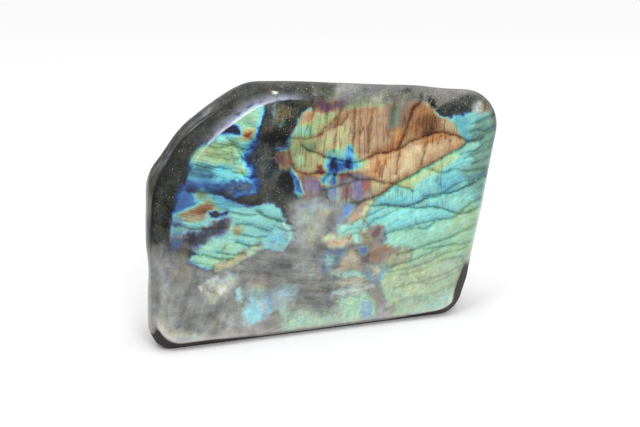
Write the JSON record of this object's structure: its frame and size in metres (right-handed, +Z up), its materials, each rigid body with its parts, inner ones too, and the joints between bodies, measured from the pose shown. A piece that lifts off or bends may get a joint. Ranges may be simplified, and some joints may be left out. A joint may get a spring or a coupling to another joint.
{
  "type": "polished labradorite freeform",
  "caption": "Upright polished stone slab with a large flat face, a rounded bevel round its upper left, a domed back and a flat sawn foot.",
  "frame": {"origin": "under the middle of the stone, on the plane of the foot that it stands on", "axes": "+X along the stone's length, to the right as the polished face is seen; +Y from the polished face to the back; +Z up"},
  "size_m": [0.1282, 0.0383, 0.085],
  "materials": {
    "labradorite": "polished, with a blue, teal, green and gold play of colour on the face"
  },
  "bodies": {
    "root": {"labradorite_stone": "labradorite"}
  },
  "joints": []
}
